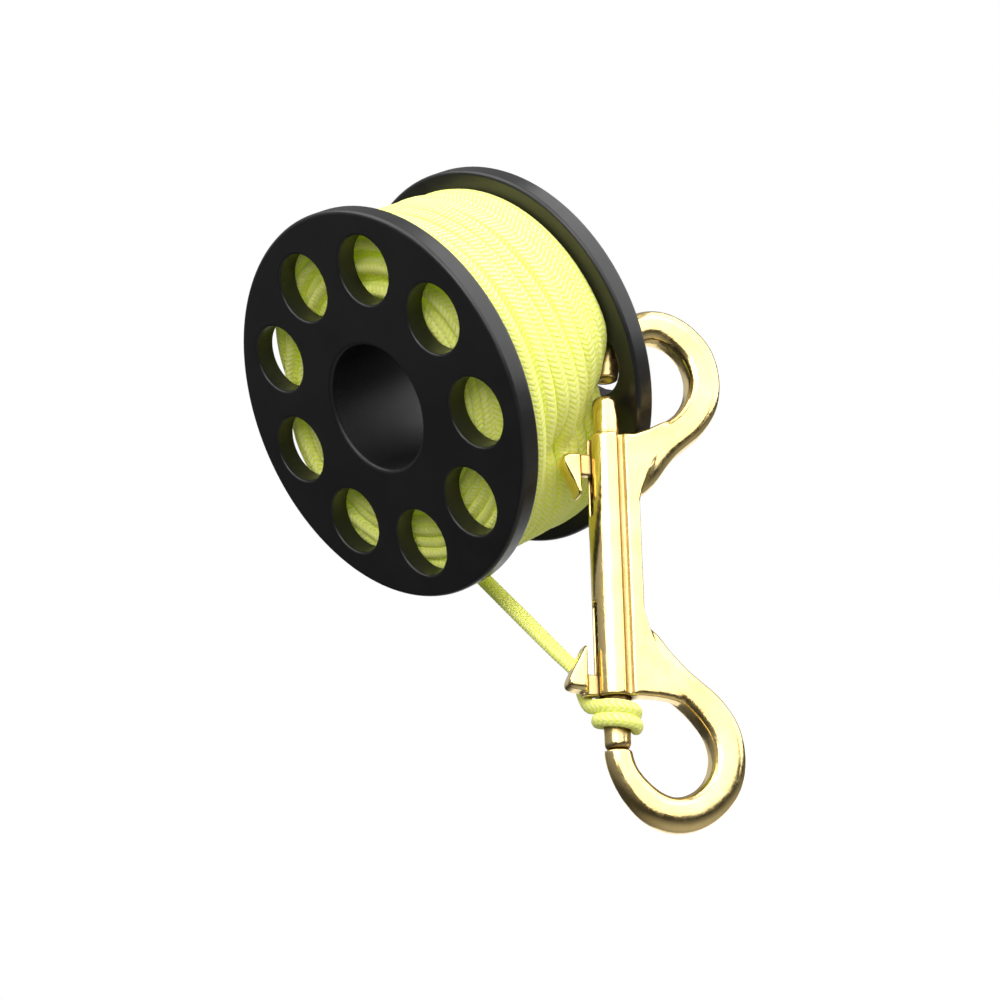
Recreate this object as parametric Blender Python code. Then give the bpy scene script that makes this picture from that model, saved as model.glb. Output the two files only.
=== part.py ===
"""Finger spool of braided line with a brass double-ended bolt snap.

The spool's axis lies along Y, with the front flange facing -Y, and the origin is at the middle of
the finger bore. The snap is hooked through a hole of the rear flange and hangs down, leaning forward.
"""

import math

import bmesh
import bpy
from mathutils import Matrix, Vector

MM = 0.001
GAP = 0.3 * MM                      # what touching pieces keep between them

# Spool: two moulded halves that meet in the middle of the hub
FLANGE_RADIUS = 38.0 * MM
FLANGE_THICKNESS = 4.4 * MM
SPOOL_WIDTH = 36.0 * MM             # over both flanges
EDGE_ROUND = 1.0 * MM
BORE_RADIUS = 12.25 * MM
HUB_RADIUS = 15.0 * MM
SPIGOT_RADIUS = 13.4 * MM
SPIGOT_LENGTH = 6.0 * MM
HOLE_RADIUS = 6.65 * MM
HOLE_PITCH_RADIUS = 27.0 * MM
HOLE_COUNT = 9
HOLE_PHASE = math.radians(-20.3)    # the hole that the snap is hooked through
SPOOL_STEPS = 72

# Line
LINE_RADIUS = 1.35 * MM             # where it hangs free
HITCH_RADIUS = 0.95 * MM            # where it is pulled tight round the bolt
PACK_RADIUS = 35.2 * MM
PACK_SHOULDER = ((13.3, 34.0), (11.0, 34.7), (8.6, 35.0), (4.0, 35.2), (0.5, 35.2))
DENT_REACH = 5.3 * MM               # the snap's barrel presses the soft winding in
DENT_SIDE = math.radians(5.0)       # and the dent is wide enough for its swing
RUN_LAYER_RADIUS = PACK_RADIUS - 1.5 * MM
RUN_START_Y = 0.0 * MM              # where the line leaves the winding, along the spool's axis

# Snap: its own frame has +Z along the barrel, +X towards the hooks, and its origin in mid-barrel
SNAP_LEAN = math.radians(30.33)     # forward, out of the vertical
SNAP_TWIST = math.radians(67.7)     # about the barrel
HOOK_CROSSING = Vector((27.45, 14.5, -10.3)) * MM    # where the hook's tip passes through the flange
CROSSING_HEIGHT = 39.2 * MM         # that point above mid-barrel
PIVOT_REACH = 3.0 * MM
BARREL_RADIUS = 3.8 * MM
BARREL_TOP = 24.0 * MM
BARREL_BOTTOM = -25.8 * MM
BARREL_BORE = 2.7 * MM
BORE_BOTTOM = 1.6 * MM              # half of the wall between the two blind bores
WEB_EDGE = 5.1 * MM
BODY_FRONT = -3.6 * MM              # the flat front of the web and the hooks' roots
WEB_BACK = 2.9 * MM
ROOT_BACK = 0.5 * MM
ROOT_TAPER = 0.08                    # how fast a root's front falls back towards the bow
SLOT_HALF_WIDTH = 1.3 * MM
SLOT_END = 8.2 * MM

# The hook's centreline: x, z, half width in the hook's plane and half thickness across it, in mm
HOOK_STATIONS = (
    (1.0, 17.0, 6.8, 2.9),
    (5.2, 19.3, 5.9, 3.0),
    (8.6, 21.5, 4.5, 3.1),
    (11.2, 23.2, 3.6, 3.15),
    (13.6, 24.8, 3.2, 3.2),
    (16.9, 27.6, 3.15, 3.2),
    (19.5, 31.6, 3.2, 3.2),
    (20.3, 36.4, 3.2, 3.2),
    (19.2, 41.0, 3.3, 3.2),
    (16.3, 44.5, 3.3, 3.2),
    (12.8, 46.4, 3.3, 3.2),
    (9.4, 46.7, 3.2, 3.2),
    (6.2, 45.5, 3.1, 3.05),
    (3.4, 43.0, 2.85, 2.8),
    (1.4, 40.2, 2.6, 2.6),
    (0.4, 37.7, 2.55, 2.55),
    (0.0, 35.4, 2.55, 2.55),
)

# A hook's root in the hook's plane, from the barrel's end round to the web, x and z in mm
UPPER_ROOT = ((0.0, 24.0), (4.6, 24.0), (7.4, 25.1), (10.2, 26.8), (11.0, 22.5), (6.6, 15.6), (4.6, 12.0),
              (0.0, 12.0))
LOWER_ROOT = ((0.0, 25.8), (4.0, 25.7), (7.0, 25.9), (9.8, 26.3), (11.0, 22.5), (6.6, 15.8), (4.6, 12.0),
              (0.0, 12.0))
LOWER_TRIM = ((2, 0.5), (3, 0.5), (4, 0.25))    # hook station and how much its inner edge lies back, mm
UPPER_REACH = 0.95                  # the upper hook is cast slightly narrower than the lower one
LOWER_REACH = 1.0
CUP_RADIUS = 2.35 * MM              # the hollow in the hook's end that the bolt seats in
CUP_CENTRE = 33.95 * MM

# Bolts
BOLT_RADIUS = 2.4 * MM
BOLT_TIP_ROUND = 1.3 * MM
BOLT_LENGTH = 18.2 * MM
BOLT_TIP = 35.4 * MM                # the closed bolt's end from mid-barrel
UPPER_STEM = 13.8 * MM              # a stem's distance from its bolt's end
LOWER_STEM = 11.6 * MM
PEG_RADIUS = 0.9 * MM
PEG_HOLE_RADIUS = 1.2 * MM
UPPER_HELD_BACK = 3.6 * MM          # the upper bolt bears on the flange, so it stands part open
SPRING_RADIUS = 1.7 * MM
SPRING_WIRE = 0.3 * MM
SPRING_TURNS = 7

# Thumb knob: outline in the hook's plane from the stem's centre, x outwards and z to mid-barrel, mm
KNOB_OUTLINE = ((5.5, 6.3), (6.0, 6.5), (7.1, 4.2), (8.5, 1.6), (9.2, -0.1), (8.9, -1.1),
                (7.8, -1.6), (5.5, -1.8))
UPPER_KNOB_SHIFT = -0.3 * MM
LOWER_KNOB_SHIFT = 0.6 * MM
KNOB_HALF_THICKNESS = 2.1 * MM
STEM_HALF_WIDTH = 0.95 * MM
STEM_HALF_HEIGHT = 2.0 * MM

# Hitch of the line round the lower bolt
WRAP_RADIUS = 3.5 * MM
WRAP_START = math.radians(193)      # the line comes in from behind, on the knob's side
WRAP_TOP = -27.6 * MM
WRAP_PITCH = 2.45 * MM
WRAP_TURNS = 1.5
RUN_BENDS = ((-5.1, 7.0, -19.4), (-4.8, 5.1, -22.8), (-4.7, 3.7, -25.2), (-4.5, 1.6, -27.0))

BLACK = ("black_plastic", (0.018, 0.018, 0.019), 0.34, 0.0)
YELLOW = ("yellow_line", (0.80, 0.93, 0.10), 0.75, 0.0)
BRASS = ("cast_brass", (0.83, 0.61, 0.24), 0.2, 1.0)
STEEL = ("spring_steel", (0.60, 0.60, 0.61), 0.3, 1.0)


def clear_scene():
    for item in list(bpy.data.objects):
        bpy.data.objects.remove(item, do_unlink=True)


def material(spec):
    name, colour, roughness, metallic = spec
    found = bpy.data.materials.get(name)
    if found:
        return found
    made = bpy.data.materials.new(name)
    made.use_nodes = True
    shader = made.node_tree.nodes["Principled BSDF"]
    shader.inputs["Base Color"].default_value = (*colour, 1.0)
    shader.inputs["Roughness"].default_value = roughness
    shader.inputs["Metallic"].default_value = metallic
    return made


def add_mesh(name, builder, spec=None, parent=None):
    mesh = bpy.data.meshes.new(name)
    bmesh.ops.recalc_face_normals(builder, faces=builder.faces)
    builder.to_mesh(mesh)
    builder.free()
    item = bpy.data.objects.new(name, mesh)
    bpy.context.collection.objects.link(item)
    if spec:
        mesh.materials.append(material(spec))
    mesh.shade_smooth()
    mesh.set_sharp_from_angle(angle=math.radians(35))
    item.parent = parent
    return item


def as_guide(item):
    item.hide_render = True
    item.display_type = "WIRE"
    return item


def boolean(item, other, operation):
    modifier = item.modifiers.new(operation.lower(), "BOOLEAN")
    modifier.operation = operation
    modifier.solver = "EXACT"
    modifier.object = as_guide(other)


def turned(profile, steps):
    """A closed ring turned about Y from (radius, y) points."""
    builder = bmesh.new()
    rings = []
    for index in range(steps):
        angle = 2 * math.pi * index / steps
        ring = []
        for radius, height in profile:
            ring.append(builder.verts.new((radius * math.cos(angle), height, radius * math.sin(angle))))
        rings.append(ring)
    count = len(profile)
    for index in range(steps):
        here = rings[index]
        after = rings[(index + 1) % steps]
        for point in range(count):
            nearby = (point + 1) % count
            builder.faces.new((here[point], here[nearby], after[nearby], after[point]))
    return builder


def cylinder(radius, start, end, steps):
    """A closed cylinder between two points."""
    axis = end - start
    builder = bmesh.new()
    bmesh.ops.create_cone(builder, cap_ends=True, segments=steps, radius1=radius, radius2=radius,
                          depth=axis.length)
    place = Matrix.Translation((start + end) / 2) @ axis.to_track_quat("Z", "Y").to_matrix().to_4x4()
    bmesh.ops.transform(builder, matrix=place, verts=builder.verts)
    return builder


def plate(outline, half_thickness, bevel=0.0):
    """An outline in XZ, given a thickness along Y."""
    builder = bmesh.new()
    front = [builder.verts.new((x, -half_thickness, z)) for x, z in outline]
    back = [builder.verts.new((x, half_thickness, z)) for x, z in outline]
    builder.faces.new(front)
    builder.faces.new(list(reversed(back)))
    count = len(outline)
    for index in range(count):
        nearby = (index + 1) % count
        builder.faces.new((front[nearby], front[index], back[index], back[nearby]))
    bmesh.ops.recalc_face_normals(builder, faces=builder.faces)
    if bevel:
        long_edges = [e for e in builder.edges if abs(e.verts[0].co.y - e.verts[1].co.y) < 1e-7]
        bmesh.ops.bevel(builder, geom=long_edges, offset=bevel, segments=2, affect="EDGES", profile=0.5)
    return builder


def smooth_path(points, between):
    """Points read from a smooth curve through the given tuples."""
    out = []
    last = len(points) - 1
    for index in range(last):
        before = points[max(index - 1, 0)]
        start = points[index]
        end = points[index + 1]
        after = points[min(index + 2, last)]
        for step in range(between):
            t = step / between
            value = []
            for a, b, c, d in zip(before, start, end, after):
                value.append(0.5 * (2 * b + (c - a) * t + (2 * a - 5 * b + 4 * c - d) * t * t
                                    + (3 * b - a - 3 * c + d) * t ** 3))
            out.append(tuple(value))
    out.append(points[-1])
    return out


def hook_solid(mirror, reach, trim, sides=16):
    """The hook, from inside the barrel's web round to its cupped end."""
    stations = [(x * reach, z, w, t) for x, z, w, t in HOOK_STATIONS]
    for index, amount in trim:
        x, z, w, t = stations[index]
        stations[index] = (x, z - amount, w - amount, t)
    path = smooth_path(stations, 2)
    builder = bmesh.new()
    rings = []
    for index, (x, z, width, thickness) in enumerate(path):
        before = path[max(index - 1, 0)]
        after = path[min(index + 1, len(path) - 1)]
        along = Vector((after[0] - before[0], 0.0, after[1] - before[1])).normalized()
        if index == len(path) - 1:
            along = Vector((0.0, 0.0, -1.0))
        across = Vector((along.z, 0.0, -along.x))
        ring = []
        for side in range(sides):
            angle = 2 * math.pi * side / sides
            c = math.cos(angle)
            s = math.sin(angle)
            c = math.copysign(abs(c) ** 0.85, c)
            s = math.copysign(abs(s) ** 0.85, s)
            point = Vector((x, 0.0, z)) + across * (c * width) + Vector((0.0, s * thickness, 0.0))
            point.z *= mirror
            ring.append(builder.verts.new(point * MM))
        rings.append(ring)
    for here, after in zip(rings, rings[1:]):
        for side in range(sides):
            nearby = (side + 1) % sides
            builder.faces.new((here[side], here[nearby], after[nearby], after[side]))
    builder.faces.new(rings[0])
    builder.faces.new(rings[-1])
    return builder


def make_spool_half(name, side):
    """side is -1 for the front half, which carries the spigot, and +1 for the rear half."""
    outer = SPOOL_WIDTH / 2
    inner = outer - FLANGE_THICKNESS
    profile = [(BORE_RADIUS, outer - EDGE_ROUND)]
    for step in (1, 2, 3):
        angle = math.pi / 2 * step / 3
        profile.append((BORE_RADIUS + EDGE_ROUND * (1 - math.cos(angle)),
                        outer - EDGE_ROUND * (1 - math.sin(angle))))
    for step in range(4):
        angle = math.pi / 2 * step / 3
        profile.append((FLANGE_RADIUS - EDGE_ROUND * (1 - math.sin(angle)),
                        outer - EDGE_ROUND * (1 - math.cos(angle))))
    for step in range(4):
        angle = math.pi / 2 * step / 3
        profile.append((FLANGE_RADIUS - EDGE_ROUND * (1 - math.cos(angle)),
                        inner + EDGE_ROUND * (1 - math.sin(angle))))
    profile.append((HUB_RADIUS, inner))
    if side < 0:
        profile.append((HUB_RADIUS, GAP / 2))
        profile.append((SPIGOT_RADIUS, GAP / 2))
        profile.append((SPIGOT_RADIUS, -SPIGOT_LENGTH))
        profile.append((BORE_RADIUS, -SPIGOT_LENGTH))
    else:
        profile.append((HUB_RADIUS, GAP / 2))
        profile.append((SPIGOT_RADIUS + GAP, GAP / 2))
        profile.append((SPIGOT_RADIUS + GAP, SPIGOT_LENGTH + GAP))
        profile.append((BORE_RADIUS, SPIGOT_LENGTH + GAP))
    half = add_mesh(name, turned([(r, side * y) for r, y in profile], SPOOL_STEPS), BLACK)
    cutter = bmesh.new()
    for index in range(HOLE_COUNT):
        angle = HOLE_PHASE + 2 * math.pi * index / HOLE_COUNT
        centre = Vector((HOLE_PITCH_RADIUS * math.cos(angle), 0.0, HOLE_PITCH_RADIUS * math.sin(angle)))
        start = centre + Vector((0.0, side * (inner - 2 * MM), 0.0))
        end = centre + Vector((0.0, side * (outer + 2 * MM), 0.0))
        hole = cylinder(HOLE_RADIUS, start, end, 28)
        mesh = bpy.data.meshes.new("hole")
        hole.to_mesh(mesh)
        hole.free()
        cutter.from_mesh(mesh)
        bpy.data.meshes.remove(mesh)
    boolean(half, add_mesh(name + "_holes", cutter), "DIFFERENCE")


def make_pack():
    half_width = SPOOL_WIDTH / 2 - FLANGE_THICKNESS - GAP
    inside = HUB_RADIUS + GAP
    profile = [(inside, -half_width), (inside, half_width)]
    for y, radius in PACK_SHOULDER:
        profile.append((radius * MM, min(y * MM, half_width)))
    profile.append((PACK_RADIUS, -10.5 * MM))
    profile.append((PACK_RADIUS - 0.9 * MM, -half_width))
    pack = add_mesh("line_pack", turned(profile, SPOOL_STEPS), YELLOW)
    pivot = hook_pivot()
    for label, angle in (("rest", 0.0), ("swung", DENT_SIDE)):
        swing = Matrix.Translation(pivot) @ Matrix.Rotation(angle, 4, swing_axis())
        place = swing @ Matrix.Translation(-pivot) @ snap_matrix()
        dent = cylinder(DENT_REACH, Vector((0, 0, 12 * MM)), Vector((0, 0, 47 * MM)), 20)
        bmesh.ops.transform(dent, matrix=place, verts=dent.verts)
        boolean(pack, add_mesh(label + "_dent", dent), "DIFFERENCE")
        side = KNOB_HALF_THICKNESS + 1.2 * MM
        box = plate([(-11.2 * MM, 7 * MM), (0, 7 * MM), (0, 22 * MM), (-11.2 * MM, 22 * MM)], side)
        bmesh.ops.transform(box, matrix=place, verts=box.verts)
        boolean(pack, add_mesh(label + "_knob_dent", box), "DIFFERENCE")


def snap_frame():
    """The empty that carries the snap, at its real lean and twist."""
    frame = bpy.data.objects.new("snap_frame", None)
    bpy.context.collection.objects.link(frame)
    frame.rotation_mode = "ZYX"
    frame.rotation_euler = (-SNAP_LEAN, 0.0, SNAP_TWIST)
    up = Vector((0.0, math.sin(SNAP_LEAN), math.cos(SNAP_LEAN)))
    frame.location = HOOK_CROSSING - up * CROSSING_HEIGHT
    return frame


def snap_matrix():
    up = Vector((0.0, math.sin(SNAP_LEAN), math.cos(SNAP_LEAN)))
    place = Matrix.Translation(HOOK_CROSSING - up * CROSSING_HEIGHT)
    return place @ Matrix.Rotation(-SNAP_LEAN, 4, "X") @ Matrix.Rotation(SNAP_TWIST, 4, "Z")


def hook_pivot():
    """Where the hook bears on the flange, between the hole and the rim."""
    return snap_matrix() @ Vector((PIVOT_REACH, 0.0, CROSSING_HEIGHT))


def swing_axis():
    """The swing is in the snap's own plane; positive brings the lower end towards the winding."""
    return snap_matrix().to_3x3() @ Vector((0.0, 1.0, 0.0))


def flat_part(outline, front, back, taper=0.0):
    """An outline in XZ (mm), from front to back along Y; taper makes the front fall back towards +X."""
    builder = plate([(x * MM, z * MM) for x, z in outline], (back - front) / 2, 0.8 * MM)
    bmesh.ops.translate(builder, verts=builder.verts, vec=(0.0, (front + back) / 2, 0.0))
    for corner in builder.verts:
        if corner.co.y < front + 0.1 * MM:
            corner.co.y += taper * max(0.0, corner.co.x - 3 * MM)
    return builder


def make_snap_body(frame):
    body = add_mesh("snap_body", cylinder(BARREL_RADIUS, Vector((0, 0, BARREL_BOTTOM)),
                                          Vector((0, 0, BARREL_TOP)), 32), BRASS, frame)
    edge = WEB_EDGE / MM
    web = flat_part(((0.0, -20.0), (edge, -17.0), (edge, 17.0), (0.0, 20.0)), BODY_FRONT, WEB_BACK)
    boolean(body, add_mesh("web", web, parent=frame), "UNION")
    for mirror, label, reach, root, trim in ((1, "upper", UPPER_REACH, UPPER_ROOT, ()),
                                             (-1, "lower", LOWER_REACH, LOWER_ROOT, LOWER_TRIM)):
        boolean(body, add_mesh(label + "_hook", hook_solid(mirror, reach, trim), parent=frame), "UNION")
        outline = [(x * reach, z * mirror) for x, z in root]
        shoulder = flat_part(outline, BODY_FRONT + 0.02 * MM, ROOT_BACK, ROOT_TAPER)
        boolean(body, add_mesh(label + "_root", shoulder, parent=frame), "UNION")
    for mirror, label, barrel_end in ((1, "upper", BARREL_TOP), (-1, "lower", BARREL_BOTTOM)):
        end = Vector((0, 0, barrel_end + mirror * 1.2 * MM))
        bore = cylinder(BARREL_BORE, Vector((0, 0, mirror * BORE_BOTTOM)), end, 24)
        boolean(body, add_mesh(label + "_bore", bore, parent=frame), "DIFFERENCE")
        low = mirror * SLOT_END
        high = barrel_end + mirror * 1 * MM
        slot = plate([(-6 * MM, low), (0.0, low), (0.0, high), (-6 * MM, high)], SLOT_HALF_WIDTH)
        boolean(body, add_mesh(label + "_slot", slot, parent=frame), "DIFFERENCE")
        cup = bmesh.new()
        bmesh.ops.create_uvsphere(cup, u_segments=20, v_segments=12, radius=CUP_RADIUS)
        bmesh.ops.translate(cup, verts=cup.verts, vec=(0, 0, mirror * CUP_CENTRE))
        boolean(body, add_mesh(label + "_cup", cup, parent=frame), "DIFFERENCE")


def bolt_solid(ahead):
    """A bolt along +Z that ends the given distance ahead of its stem, with a rounded end."""
    profile = [(BOLT_RADIUS, ahead - BOLT_LENGTH)]
    for step in range(6):
        angle = math.pi / 2 * step / 5
        profile.append((BOLT_RADIUS - BOLT_TIP_ROUND * (1 - math.cos(angle)),
                        ahead - BOLT_TIP_ROUND * (1 - math.sin(angle))))
    builder = bmesh.new()
    steps = 24
    rings = []
    for radius, z in profile:
        ring = []
        for index in range(steps):
            angle = 2 * math.pi * index / steps
            ring.append(builder.verts.new((radius * math.cos(angle), radius * math.sin(angle), z)))
        rings.append(ring)
    for here, after in zip(rings, rings[1:]):
        for index in range(steps):
            nearby = (index + 1) % steps
            builder.faces.new((here[index], here[nearby], after[nearby], after[index]))
    builder.faces.new(rings[0])
    builder.faces.new(rings[-1])
    return builder


def make_bolt(label, mirror, open_by, ahead, knob_shift, frame):
    """A spring bolt with its thumb knob; its holder empty stands on the slide's axis."""
    holder = bpy.data.objects.new(label + "_bolt_place", None)
    bpy.context.collection.objects.link(holder)
    holder.parent = frame
    holder.location = (0.0, 0.0, mirror * (BOLT_TIP - ahead - open_by))
    holder.rotation_euler = (0.0 if mirror > 0 else math.pi, 0.0, 0.0)
    bolt = add_mesh(label + "_bolt", bolt_solid(ahead), BRASS, holder)
    hole = cylinder(PEG_HOLE_RADIUS, Vector((-4 * MM, 0, 0)), Vector((0.4 * MM, 0, 0)), 16)
    boolean(bolt, add_mesh(label + "_peg_hole", hole, parent=holder), "DIFFERENCE")
    outline = [(-x * MM, -z * MM - knob_shift) for x, z in KNOB_OUTLINE]
    knob = add_mesh(label + "_thumb_knob", plate(outline, KNOB_HALF_THICKNESS, 0.7 * MM), BRASS, holder)
    stem = [(-6.2 * MM, -STEM_HALF_HEIGHT), (-2.9 * MM, -STEM_HALF_HEIGHT),
            (-2.9 * MM, STEM_HALF_HEIGHT), (-6.2 * MM, STEM_HALF_HEIGHT)]
    boolean(knob, add_mesh(label + "_stem", plate(stem, STEM_HALF_WIDTH), parent=holder), "UNION")
    peg = cylinder(PEG_RADIUS, Vector((-4 * MM, 0, 0)), Vector((0.1 * MM, 0, 0)), 12)
    boolean(knob, add_mesh(label + "_peg", peg, parent=holder), "UNION")


def tube(name, points, radius, spec, parent=None, resolution=2):
    curve = bpy.data.curves.new(name, "CURVE")
    curve.dimensions = "3D"
    curve.bevel_depth = radius
    curve.bevel_resolution = resolution
    curve.use_fill_caps = True
    spline = curve.splines.new("POLY")
    spline.points.add(len(points) - 1)
    for slot, point in zip(spline.points, points):
        slot.co = (*point, 1.0)
    curve.materials.append(material(spec))
    item = bpy.data.objects.new(name, curve)
    bpy.context.collection.objects.link(item)
    item.parent = parent
    return item


def make_spring(label, mirror, open_by, frame):
    low = BORE_BOTTOM + GAP + SPRING_WIRE
    high = BOLT_TIP - BOLT_LENGTH - open_by - GAP - SPRING_WIRE
    points = []
    steps = SPRING_TURNS * 10
    for index in range(steps + 1):
        angle = 2 * math.pi * SPRING_TURNS * index / steps
        height = low + (high - low) * index / steps
        points.append((SPRING_RADIUS * math.cos(angle), SPRING_RADIUS * math.sin(angle), mirror * height))
    tube(label + "_spring", points, SPRING_WIRE, STEEL, frame, resolution=1)


def hitch_points():
    """The wraps round the lower bolt, in the snap's frame; they start where the line comes in."""
    points = []
    steps = 36
    for index in range(steps + 1):
        turn = WRAP_TURNS * index / steps
        angle = WRAP_START + 2 * math.pi * turn
        height = WRAP_TOP - WRAP_PITCH * turn
        points.append(Vector((WRAP_RADIUS * math.cos(angle), WRAP_RADIUS * math.sin(angle), height)))
    return points


def run_departure(target):
    """The point where the line leaves the winding as a tangent towards the target."""
    reach = math.hypot(target.x, target.z)
    bearing = math.atan2(target.z, target.x)
    angle = bearing - math.acos(RUN_LAYER_RADIUS / reach)
    return Vector((RUN_LAYER_RADIUS * math.cos(angle), RUN_START_Y, RUN_LAYER_RADIUS * math.sin(angle)))


def make_line(frame):
    wraps = hitch_points()
    tube("line_hitch", wraps, HITCH_RADIUS, YELLOW, frame)
    place = snap_matrix()
    inward = (wraps[0] - wraps[1]).normalized() * GAP
    bends = [place @ (Vector(point) * MM) for point in RUN_BENDS]
    start = run_departure(bends[0])
    along = (bends[0] - start).normalized()
    length = (bends[0] - start).length
    clear = math.sqrt((PACK_RADIUS + LINE_RADIUS + GAP) ** 2 - RUN_LAYER_RADIUS ** 2) * 1.06
    route = []
    for step in range(7):
        route.append(start + along * (clear + (length - clear) * step / 7))
    route.extend(bends)
    route.append(place @ (wraps[0] + inward))
    tube("line_run", [Vector(p) for p in smooth_path([tuple(p) for p in route], 3)], LINE_RADIUS, YELLOW)


def main():
    clear_scene()
    make_spool_half("front_spool_half", -1)
    make_spool_half("rear_spool_half", 1)
    make_pack()
    frame = snap_frame()
    make_snap_body(frame)
    make_bolt("upper", 1, UPPER_HELD_BACK, UPPER_STEM, UPPER_KNOB_SHIFT, frame)
    make_bolt("lower", -1, 0.0, LOWER_STEM, LOWER_KNOB_SHIFT, frame)
    make_spring("upper", 1, UPPER_HELD_BACK, frame)
    make_spring("lower", -1, 0.0, frame)
    make_line(frame)
    bpy.context.view_layer.update()


main()
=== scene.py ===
"""Looks of the finger spool: moulded plastic halves, braided line, cast brass bolt snap, and the studio.

Lengths are in metres unless a name says otherwise. The spool's axis is Y, with the front flange at -Y.
"""

import math

import bmesh
import bpy
import numpy as np
from mathutils import Matrix, Vector


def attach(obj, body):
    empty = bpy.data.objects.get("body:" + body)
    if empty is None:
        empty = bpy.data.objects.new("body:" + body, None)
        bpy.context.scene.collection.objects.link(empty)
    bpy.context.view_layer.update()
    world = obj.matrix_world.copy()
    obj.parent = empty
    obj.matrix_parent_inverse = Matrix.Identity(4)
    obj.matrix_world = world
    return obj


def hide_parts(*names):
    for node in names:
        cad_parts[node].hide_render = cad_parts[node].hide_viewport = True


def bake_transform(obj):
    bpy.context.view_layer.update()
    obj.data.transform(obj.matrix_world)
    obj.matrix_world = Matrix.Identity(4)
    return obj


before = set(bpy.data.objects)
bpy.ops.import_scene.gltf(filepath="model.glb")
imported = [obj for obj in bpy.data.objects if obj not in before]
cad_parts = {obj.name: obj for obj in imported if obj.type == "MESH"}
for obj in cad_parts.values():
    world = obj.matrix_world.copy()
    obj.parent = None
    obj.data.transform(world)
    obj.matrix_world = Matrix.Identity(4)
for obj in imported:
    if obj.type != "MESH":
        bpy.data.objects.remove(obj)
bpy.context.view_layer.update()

MM = 0.001

# Spool, as in the CAD
FLANGE_RADIUS = 38.0 * MM
FLANGE_THICKNESS = 4.4 * MM
SPOOL_WIDTH = 36.0 * MM
EDGE_ROUND = 0.8 * MM
BORE_RADIUS = 12.25 * MM
HUB_RADIUS = 15.0 * MM
SPIGOT_RADIUS = 13.4 * MM
SPIGOT_LENGTH = 6.0 * MM
HUB_FILLET = 0.4 * MM
CHAMFER = 0.1 * MM
HOLE_RADIUS = 6.65 * MM
HOLE_ROUND = 0.45 * MM
HOLE_PITCH_RADIUS = 27.0 * MM
HOLE_COUNT = 9
HOLE_PHASE = math.radians(-20.3)
GAP = 0.3 * MM                      # between pieces that touch in the real object

# Braided line
LINE_DIAMETER = 3.0 * MM
LINE_HALF_WIDTH = 1.72 * MM         # under tension the wound braid lies slightly flat
LINE_HALF_THICKNESS = 1.36 * MM
BRAID_COLUMNS = 3.0                 # columns of stitches round the line
BRAID_PITCH = 1.02                  # mm along the line for one stitch
BRAID_SLANT = 0.95                  # how many stitches a V runs back from its point
STITCH_SHAPE = 0.6                  # under 1 makes the stitches fuller than a sine
VALLEY_EDGE = 0.16                  # share of a column taken by the valley down its middle
VALLEY_FLOOR = 0.55
SEAM_EDGE = 0.86                    # share of a column before the seam with its neighbour
SEAM_FLOOR = 0.6

# Winding, from the hub out
PACK_RADIUS = 35.2 * MM
RUN_LAYER_RADIUS = PACK_RADIUS - LINE_DIAMETER / 2
FIRST_LAYER_RADIUS = 16.8 * MM
LAYERS = 8
LAYER_TURNS = 8.5
DWELL = 0.5                         # turns that lie against a flange before the line moves on
CLIMB_START = 0.93                  # share of a layer after which the line climbs to the next
TURN_STEPS = 112
TRAVERSE = 11.75 * MM               # how far the turns' middle goes to either side
WANDER_EDGE = 3.0 * MM              # the turns wander less within this distance of a flange
RIPPLE = 0.16 * MM                  # how unevenly the turns lie on each other
CROSSOVER_START = math.radians(118)
REAR_SINK = 0.2 * MM                # the outermost turns sink towards the flanges
REAR_SINK_START = 3.0 * MM
FRONT_SINK = 0.5 * MM
FRONT_SINK_START = 9.5 * MM
BULGE = 1.5 * MM                    # on one side they pile up against the front flange instead
BULGE_START = 7.0 * MM
BULGE_MIDDLE = 200.0                # degrees round the axis
BULGE_SPREAD = 42.0
PRESS_STEP = 0.08 * MM              # the winding is pressed in by this much at a time
PRESS_ROUNDS = 110
PRESS_LIMIT = 12.0 * MM
PRESS_BLUR = 5                      # steps to either side over which a dent is softened
CROSSOVER_REACH = 2.55 * MM         # room under the last turn where it crosses the others
CROSSOVER_EASE = 3.5                # the room is full after 1 / 3.5 of the crossover
LEAVING_REACH = 2.6 * MM            # and where the tail leaves
LEAVING_LENGTH = 22.0 * MM
JOIN_STEPS = 24                     # points over which the last turn rises to its crossing

# Parts of the snap that press into the winding, in mm in the snap frame: start, end, reach
PRESSING_PARTS = (
    ((0, 0, -5), (0, 0, 24.6), 6.15),
    ((0, 0, 24), (0, 0, 30.8), 4.05),
    ((0, 0, 37), (0, 0, 44), 3.85),
    ((-7.2, 0, 9), (-7.2, 0, 19), 4.3),
    ((-6.0, 0, 4), (-7.2, 0, 9), 3.9),
)

# Snap frame: +Z along the barrel, +X towards the hooks, origin in mid-barrel
SNAP_LEAN = math.radians(30.33)
SNAP_TWIST = math.radians(67.7)
HOOK_CROSSING = Vector((27.45, 14.5, -10.3)) * MM
CROSSING_HEIGHT = 39.2 * MM
PIVOT_REACH = 3.0 * MM
SWING = math.radians(5.0)
SNAP_UP = Vector((0.0, math.sin(SNAP_LEAN), math.cos(SNAP_LEAN)))
SNAP_PLACE = (Matrix.Translation(HOOK_CROSSING - SNAP_UP * CROSSING_HEIGHT)
              @ Matrix.Rotation(-SNAP_LEAN, 4, "X") @ Matrix.Rotation(SNAP_TWIST, 4, "Z"))

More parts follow.
